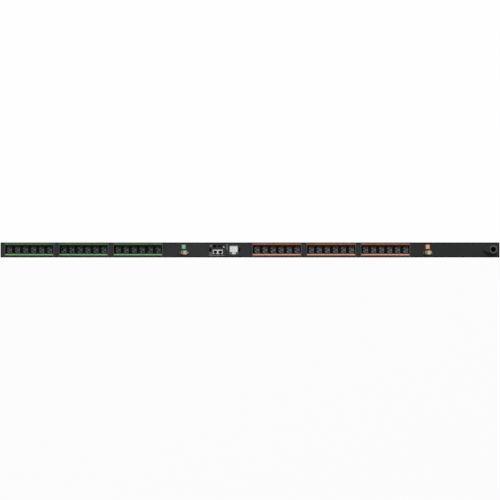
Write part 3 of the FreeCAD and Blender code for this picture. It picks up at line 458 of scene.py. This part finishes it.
breaker_black = moulded("breaker_plastic", ink(30, 31, 30), ink(40, 41, 40), 0.42)
plate_green = label_finish("label_green", "breaker_label_1", ink(104, 166, 122), ink(40, 78, 56))
plate_orange = label_finish("label_orange", "breaker_label_2", ink(204, 142, 100), ink(128, 92, 72))
rocker_green_side = rocker_finish("1", ink(100, 96, 66), ink(178, 168, 134), -1.9 * MM)
rocker_orange_side = rocker_finish("2", ink(112, 92, 62), ink(186, 176, 128), -0.8 * MM)

fascia_dark = moulded("fascia_plastic", ink(39, 40, 40), ink(48, 49, 49), 0.5, 0.4, 0.025)
board_mask = circuit_board("board_green")
jack_tin = shelled_socket("jack_metal", "network_jack", ink(190, 191, 190), rim=1.7 * MM,
                          mouths=NETWORK_MOUTHS)
usb_tin = shelled_socket("usb_metal", "usb_port", ink(36, 37, 38), wall=0.6 * MM)
jack_dark = moulded("jack_black", ink(12, 12, 13), ink(18, 18, 19), 0.4)
screen = display_surface("display_face")
screen_lens = moulded("display_lens", ink(225, 230, 232), ink(235, 240, 242), 0.12, 2.0, 0.001,
                      alpha=0.12)
light_cap = moulded("light_lens", ink(78, 80, 80), ink(94, 96, 96), 0.22, 1.2, 0.01)
switch_dark = moulded("switch_plastic", ink(28, 28, 30), ink(38, 38, 40), 0.4)
key_pale = moulded("key_grey", ink(84, 85, 86), ink(98, 99, 100), 0.42)
key_bright = moulded("key_white", ink(196, 196, 192), ink(210, 210, 206), 0.36)

boss_dark = moulded("boss_plastic", ink(36, 37, 38), ink(46, 47, 48), 0.48, 0.6, 0.03)
gland_dark = moulded("gland_rubber", ink(60, 60, 61), ink(74, 74, 75), 0.55, 0.5, 0.03)
nut_dark = moulded("nut_plastic", ink(30, 30, 31), ink(40, 40, 41), 0.45)
terminal_pale = moulded("terminal_plastic", ink(150, 148, 140), ink(166, 164, 156), 0.4)

print_pale = printed("pale_print", ink(170, 172, 166), ink(186, 188, 182))
print_white = printed("white_print", ink(214, 215, 206), ink(226, 227, 218))
print_soft = printed("soft_print", ink(128, 150, 128), ink(144, 166, 144))
print_grey = printed("grey_print", ink(118, 120, 118), ink(134, 136, 134))
print_dark = printed("dark_print", ink(64, 66, 66), ink(80, 82, 82), 0.5)
figure_dark = printed("display_figures", ink(112, 118, 120), ink(130, 136, 138), 0.5)
figure_green = printed("figure_green", ink(138, 214, 160), ink(150, 226, 172), 0.5, 0.4)
figure_orange = printed("figure_orange", ink(246, 184, 130), ink(252, 196, 142), 0.5, 0.4)


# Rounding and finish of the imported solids

def smooth_group():
    """Shade smooth, except across edges sharper than 32 degrees."""
    group = bpy.data.node_groups.new("smooth_by_angle", "GeometryNodeTree")
    for way in ("INPUT", "OUTPUT"):
        group.interface.new_socket("Geometry", in_out=way, socket_type="NodeSocketGeometry")
    nodes = Nodes(group)
    faces = nodes.node("GeometryNodeSetShadeSmooth", {"domain": "FACE"},
                       {"Geometry": nodes.node("NodeGroupInput")})
    sharp = nodes.node("FunctionNodeCompare", {"operation": "GREATER_THAN"},
                       [nodes.node("GeometryNodeInputMeshEdgeAngle"), math.radians(32)])
    edges = nodes.node("GeometryNodeSetShadeSmooth", {"domain": "EDGE"},
                       {"Geometry": faces, "Selection": sharp, "Shade Smooth": False})
    nodes.node("NodeGroupOutput", {}, [edges])
    return group


SMOOTH = smooth_group()


def modify(piece, name, kind, **settings):
    """Add a modifier with its settings."""
    made = piece.modifiers.new(name, kind)
    for setting, value in settings.items():
        setattr(made, setting, value)


def dress(node, finish, round_off, segments=2):
    """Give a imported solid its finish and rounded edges, in millimetres."""
    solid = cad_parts[node]
    solid.data.materials.clear()
    solid.data.materials.append(finish.material)
    modify(solid, "weld", "WELD", merge_threshold=0.002 * MM)
    modify(solid, "flat_faces", "DECIMATE", decimate_type="DISSOLVE", angle_limit=math.radians(0.6))
    if round_off:
        modify(solid, "edge", "BEVEL", width=round_off * MM, segments=segments,
               limit_method="ANGLE", angle_limit=math.radians(34))
    modify(solid, "smooth", "NODES", node_group=SMOOTH)
    modify(solid, "even_normals", "WEIGHTED_NORMAL", keep_sharp=True)


def dress_chassis():
    for node in ("front_channel", "rear_cover", "end_cap_left", "end_cap_right"):
        dress(node, chassis_coat, 0.25)
    dress("mounting_buttons", zinc, 0.3)


def dress_banks():
    for bank in BANKS:
        green = bank < FIRST_ORANGE_BANK
        dress(f"outlet_tray_{bank}", tray_black, 0.25)
        dress(f"outlet_cores_{bank}", core_black if green else core_grey, 0.7, 3)
        dress(f"colour_rails_{bank}", strip_green if green else strip_orange, 0.5, 3)
    for strip in ("line", "neutral", "earth"):
        for group in "12":
            dress(f"{strip}_strip_{group}", shaded_brass, 0)


def dress_breakers():
    for number, rocker, plate in (("1", rocker_green_side, plate_green),
                                  ("2", rocker_orange_side, plate_orange)):
        dress(f"breaker_body_{number}", breaker_black, 0.25)
        dress(f"breaker_rocker_{number}", rocker, 0.35, 3)
        dress(f"breaker_label_{number}", plate, 0.1)


def dress_controller():
    for node, finish, round_off in (
            ("controller_fascia", fascia_dark, 0.3), ("controller_board", board_mask, 0),
            ("board_screws", zinc, 0.15), ("network_jack", jack_tin, 0.15),
            ("sensor_jack", jack_dark, 0.15), ("usb_port", usb_tin, 0.1),
            ("display_panel", screen, 0), ("display_window", screen_lens, 0.15),
            ("status_light", light_cap, 0.35), ("tact_switches", switch_dark, 0.15),
            ("button_left", key_pale, 0.4), ("button_centre", key_bright, 0.4),
            ("button_right", key_pale, 0.4), ("reset_button", key_bright, 0.3)):
        dress(node, finish, round_off)
    # A hair of air between the clear window and the panel behind it
    modify(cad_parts["display_window"], "air", "DISPLACE", mid_level=0, strength=-0.12 * MM)


def dress_cord_entry():
    for node, finish, round_off in (
            ("cord_boss", boss_dark, 0.6), ("cord_gland", gland_dark, 0.4),
            ("gland_nut", nut_dark, 0.3), ("terminal_block", terminal_pale, 0.3)):
        dress(node, finish, round_off)


# New pieces

def add(name, data, place=(0, 0, 0), turn=(0, 0, 0)):
    """New object in the scene."""
    made = bpy.data.objects.new(name, data)
    made.location = place
    made.rotation_euler = turn
    bpy.context.scene.collection.objects.link(made)
    return made


def keep(piece, finish, body="chassis"):
    """Give a new piece its finish and let it ride on a body."""
    piece.data.materials.append(finish.material)
    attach(piece, body)
    return piece


def mesh_piece(name, build, finish):
    """New piece of the chassis whose mesh a function fills."""
    shape = bmesh.new()
    build(shape)
    bmesh.ops.recalc_face_normals(shape, faces=shape.faces)
    mesh = bpy.data.meshes.new(name)
    shape.to_mesh(mesh)
    shape.free()
    piece = add(name, mesh)
    modify(piece, "smooth", "NODES", node_group=SMOOTH)
    return keep(piece, finish)


def slab(shape, x, z, long, high, front, thick, lean=0.0):
    """Thin bar on a surface that faces -Y; x, z are its middle, all in metres."""
    corners = []
    for across, up in CORNERS:
        right = across * long / 2 * math.cos(lean) - up * high / 2 * math.sin(lean)
        rise = across * long / 2 * math.sin(lean) + up * high / 2 * math.cos(lean)
        corners.append((x + right, z + rise))
    back = [shape.verts.new((right, front + thick, rise)) for right, rise in corners]
    face = [shape.verts.new((right, front, rise)) for right, rise in corners]
    shape.faces.new(face)
    shape.faces.new(back[::-1])
    for k in range(4):
        turn = (k + 1) % 4
        shape.faces.new((face[k], back[k], back[turn], face[turn]))


def numeral(name, text, place, height, finish, body="chassis", lean=0.0, turn=0.0, roll=0.0):
    """Printed figure that faces -Y, leans back, turns about the upright axis or rolls in its plane."""
    curve = bpy.data.curves.new(name, "FONT")
    curve.body = text
    curve.size = height * FONT_SIZE
    curve.align_x = "CENTER"
    curve.align_y = "CENTER"
    curve.extrude = PRINT
    curve.resolution_u = 3
    keep(add(name, curve, place, (math.radians(90) - lean, roll, turn)), finish, body)


def outlet_numbers():
    """Numbers 1 to 36 on the lower strip's inner slope, one below each outlet."""
    rise, run = 2.6 * MM, 3.5 * MM
    lean = math.atan2(rise, run)
    inner_edge = MIDDLE_Z - 15 * MM
    for bank in BANKS:
        first, pitch = socket_blocks(bank)
        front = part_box(f"colour_rails_{bank}")[0].y
        for outlet in range(OUTLETS):
            count = (bank - 1) * OUTLETS + outlet + 1
            place = (first + pitch * outlet, front + rise / 2 - PRINT, inner_edge - run / 2 + PRINT)
            numeral(f"outlet_number_{count}", str(count), place, 2.7 * MM, print_soft, lean=lean)


def breaker_marks():
    """A plain figure on each label, and the on and off marks at each rocker."""
    flank, tipped = math.atan2(1.6, 10), math.radians(8)
    on_flank, flank_depth = -8.0 * MM, 0.45 * MM
    for number, tone in (("1", figure_green), ("2", figure_orange)):
        low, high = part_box(f"breaker_label_{number}")
        middle = (low + high) / 2
        numeral(f"label_figure_{number}", number, (middle.x, low.y - PRINT / 2, middle.z), 11 * MM, tone)
        low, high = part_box(f"breaker_rocker_{number}")
        pivot = (low + high) / 2
        numeral(f"on_mark_{number}", "I", (pivot.x + on_flank, low.y + flank_depth, pivot.z), 8 * MM,
                print_pale, f"rocker_{number}", turn=flank + tipped)
        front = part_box(f"breaker_body_{number}")[0].y - PRINT / 2
        for word, across, tone in (("ON", -14.3 * MM, print_grey), ("OFF", 13.9 * MM, print_white)):
            numeral(f"{word.lower()}_word_{number}", word, (pivot.x + across, front, pivot.z),
                    4.2 * MM, tone, roll=math.radians(-90))


def fascia_marks():
    """Generic printing on the controller's face: a divider, port ticks, an arc and a scale."""
    low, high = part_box("controller_fascia")
    middle = (low.x + high.x) / 2
    left_end, scale_height = -57.0, 7.1

    def bar(shape, x, z, long, high, lean=0.0):
        """Printed bar, in millimetres from the fascia's middle and from the floor."""
        slab(shape, middle + x * MM, z * MM, long * MM, high * MM, low.y - 0.03 * MM, 0.05 * MM, lean)

    def divider_and_ticks(shape):
        bar(shape, 9.6, 37.0, 0.9, 27.0)
        for line, long in enumerate((5.0, 3.4, 4.6, 3.8, 5.0, 3.0)):
            bar(shape, 6.2, 46.9 - 3.3 * line, long, 1.3)
        for row in range(3):
            for step in range(4):
                bar(shape, left_end + 2.9 * step + 0.7 * row, 18.6 - 3.6 * row, 1.2, 2.2, lean=-0.5)
        for step in range(24):
            long = 1.9 if step % 4 == 0 else 1.1
            high = 3.4 if step % 3 == 0 else 2.6
            bar(shape, left_end + 2.45 * step, scale_height, long, high)
    mesh_piece("divider_print", divider_and_ticks, print_grey)

    def arc_and_scale(shape):
        for step in range(16):
            bar(shape, 4.0 + 2.9 * step, scale_height, 1.2, 1.6)
        port_low, port_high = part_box("usb_port")
        port_middle = ((port_low.x + port_high.x) / 2 - middle) / MM
        under_port = port_low.z / MM - 2.8
        for step in range(-5, 6):
            turn = step * 0.17
            bar(shape, port_middle + 8.2 * math.sin(turn), under_port - 3.0 * (math.cos(turn) - 1),
                1.5, 0.5, lean=turn * 0.4)
    mesh_piece("scale_print", arc_and_scale, print_dark)


def display_figures():
    """Rows of plain figures on the display, with a line above and below each."""
    low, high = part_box("display_window")
    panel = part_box("display_panel")[0].y
    middle = (low.x + high.x) / 2
    row_pitch = 6.6 * MM
    first_row, first_line = high.z - 5.6 * MM, high.z - 2.3 * MM
    for row, text in enumerate(("1   08.4", "2   11.7", "3   09.2")):
        numeral(f"display_row_{row + 1}", text, (middle, panel - 0.03 * MM, first_row - row_pitch * row),
                3.0 * MM, figure_dark)

    def lines(shape):
        for row in range(4):
            slab(shape, middle, first_line - row_pitch * row, 28 * MM, 0.35 * MM,
                 panel - 0.04 * MM, 0.03 * MM)
    mesh_piece("display_lines", lines, print_grey)


def jack_contacts():
    """Sprung contact wires in the network mouths and the sensor mouth."""
    low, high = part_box("network_jack")
    middle = (low + high) / 2
    sensor_low, sensor_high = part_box("sensor_jack")
    mouths = [(middle.x + across, middle.z + 3.0 * MM, 8) for across in NETWORK_MOUTHS]
    mouths.append(((sensor_low.x + sensor_high.x) / 2, sensor_high.z - 2.0 * MM, 6))
    pitch, half = 1.02 * MM, 0.2 * MM
    # Depth behind the jack's front and drop below the wire's first point, in millimetres
    bends = ((4.0, 0.0), (5.0, 0.1), (10.0, 2.9), (12.5, 3.1))

    def wires(shape):
        for across, top, count in mouths:
            for k in range(count):
                x = across + (k - (count - 1) / 2) * pitch
                sections = []
                for depth, drop in bends:
                    y, z = low.y + depth * MM, top - drop * MM
                    sections.append([shape.verts.new((x + right * half, y, z + up * half))
                                     for right, up in CORNERS])
                for one, other in zip(sections, sections[1:]):
                    for side in range(4):
                        turn = (side + 1) % 4
                        shape.faces.new((one[side], one[turn], other[turn], other[side]))
                shape.faces.new(sections[0])
                shape.faces.new(sections[-1][::-1])
    mesh_piece("jack_contacts", wires, shaded_brass)


def screw_head(shape, x, y, z, side, radius):
    """Flush countersunk head with a cross recess in a long side; side is -1 below, 1 above."""
    steps, arms = 20, 4
    top = z + side * 0.02 * MM

    def ring(reaches, height):
        """Vertices round the screw, each at its share of the radius."""
        turns = [2 * math.pi * k / steps for k in range(steps)]
        return [shape.verts.new((x + radius * reach * math.cos(turn),
                                 y + radius * reach * math.sin(turn), height))
                for reach, turn in zip(reaches, turns)]
    recess = [0.3 if k % (steps // arms) else 0.62 for k in range(steps)]
    rings = [ring([1.0] * steps, z - side * 0.05 * MM), ring([0.93] * steps, top), ring(recess, top),
             ring([reach * 0.6 for reach in recess], top - side * 0.045 * MM)]
    for one, other in zip(rings, rings[1:]):
        for k in range(steps):
            turn = (k + 1) % steps
            shape.faces.new((one[k], one[turn], other[turn], other[k]))
    shape.faces.new(rings[-1])


def side_screws():
    """Countersunk screws through both long sides into the cover's and the end plates' flanges."""
    low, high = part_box("rear_cover")
    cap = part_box("end_cap_right")[1]
    cover_screws, margin = 7, 40 * MM
    spacing = (high.x - low.x - 2 * margin) / (cover_screws - 1)
    places = [(low.x + margin + spacing * k, high.y - 6.2 * MM) for k in range(cover_screws)]
    places += [(side * (cap.x - 8.5 * MM), y) for side in (-1, 1) for y in (-13 * MM, 7 * MM)]

    def heads(shape):
        for x, y in places:
            for side, z in ((-1, cad_low.z), (1, cad_high.z)):
                screw_head(shape, x, y, z, side, 2.6 * MM)
    mesh_piece("side_screws", heads, zinc)


# Stage, light and camera

def floor():
    """Wide floor a hair under the bar."""
    reach = 30.0
    mesh = bpy.data.meshes.new("floor")
    mesh.from_pydata([(right * reach, up * reach, 0) for right, up in CORNERS], [], [(0, 1, 2, 3)])
    mesh.materials.append(stage_finish("floor_white", (0.13, 0.13, 0.13, 1.0), 0.8).material)
    plane = add("floor", mesh, (0, 0, cad_low.z - 0.02 * MM))


def surround():
    """World that is white to look at and lights the unit softly."""
    world = bpy.data.worlds.new("studio")
    bpy.context.scene.world = world
    world.use_nodes = True
    world.node_tree.nodes.clear()
    nodes = Nodes(world.node_tree)
    soft = nodes.node("ShaderNodeBackground", {}, {"Color": WHITE, "Strength": 0.16})
    white = nodes.node("ShaderNodeBackground", {}, {"Color": (0.99, 0.99, 0.99, 1.0), "Strength": 1.0})
    mixed = nodes.node("ShaderNodeMixShader", {}, [nodes.looked_at(), soft, white])
    nodes.node("ShaderNodeOutputWorld", {}, [mixed])


def lamp(name, strength, softness, elevation, azimuth):
    """Soft distant lamp; azimuth 0 shines from the outlet side, 90 from +X."""
    light = bpy.data.lights.new(name, "SUN")
    light.energy = strength
    light.angle = math.radians(softness)
    add(name, light, turn=(math.radians(90 - elevation), 0, math.radians(azimuth)))


def camera():
    """Level long lens in front of the outlet face; the bar just spans the picture."""
    picture_pixels, bar_pixels = 500, 498.97
    view = bpy.data.cameras.new("camera")
    view.lens = 200
    view.sensor_width = 36
    view.clip_end = 100
    picture_width = 2 * HALF_LONG * picture_pixels / bar_pixels
    distance = picture_width * view.lens / view.sensor_width
    place = (0.05 * MM, FACE - distance, 27.24 * MM)
    bpy.context.scene.camera = add("camera", view, place, (math.radians(90), 0, 0))


dress_chassis()
dress_banks()
dress_breakers()
dress_controller()
dress_cord_entry()
outlet_numbers()
breaker_marks()
fascia_marks()
display_figures()
jack_contacts()
side_screws()
floor()
surround()
lamp("high_front", 4.9, 20, 62, 22)
lamp("low_front", 0.2, 40, 30, -20)
lamp("behind", 1.7, 40, 26, 200)
camera()
bpy.context.scene.view_settings.view_transform = "Standard"

bpy.context.view_layer.update()
